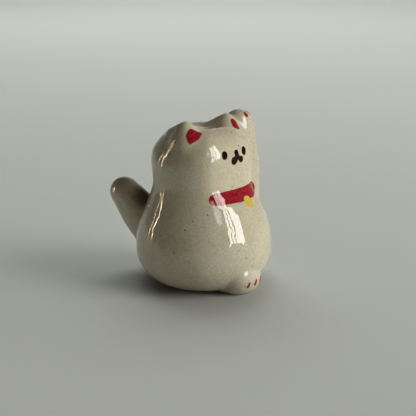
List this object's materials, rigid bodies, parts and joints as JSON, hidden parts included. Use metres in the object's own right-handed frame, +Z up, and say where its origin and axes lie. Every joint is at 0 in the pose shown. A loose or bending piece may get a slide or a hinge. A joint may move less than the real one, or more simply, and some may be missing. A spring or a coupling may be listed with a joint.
{
  "type": "beckoning cat figurine",
  "caption": "Small hand-built glazed stoneware cat, sitting upright with one paw raised and one lowered, tail out behind, brushed face, collar and bell.",
  "frame": {"origin": "middle of the flat unglazed base that the cat rests on", "axes": "+Z up, the cat faces -Y, +X towards the cat's left side, where the raised paw is"},
  "size_m": [0.034, 0.0424, 0.0421],
  "materials": {
    "glazed_stoneware": "warm grey-cream stoneware with fine specks under a clear gloss glaze",
    "bare_stoneware": "unglazed matt fired clay",
    "red_underglaze": "brushed deep red underglaze under clear gloss glaze",
    "brown_underglaze": "brushed dark brown iron underglaze under clear gloss glaze",
    "yellow_underglaze": "brushed straw yellow underglaze under clear gloss glaze"
  },
  "bodies": {
    "root": {"belly_pot": "glazed_stoneware", "head_pot": "glazed_stoneware", "right_ear": "glazed_stoneware", "left_ear": "glazed_stoneware", "raised_arm": "glazed_stoneware", "front_paw": "glazed_stoneware", "tail": "glazed_stoneware", "base_disc": "bare_stoneware", "collar": "red_underglaze", "right_ear_colour": "red_underglaze", "left_ear_colour": "red_underglaze", "front_paw_claw_1": "red_underglaze", "front_paw_claw_2": "red_underglaze", "front_paw_claw_3": "red_underglaze", "raised_paw_claw_1": "red_underglaze", "raised_paw_claw_2": "red_underglaze", "raised_paw_claw_3": "red_underglaze", "right_eye": "brown_underglaze", "left_eye": "brown_underglaze", "nose": "brown_underglaze", "mouth_right_stroke": "brown_underglaze", "mouth_left_stroke": "brown_underglaze", "bell": "yellow_underglaze"}
  },
  "joints": []
}
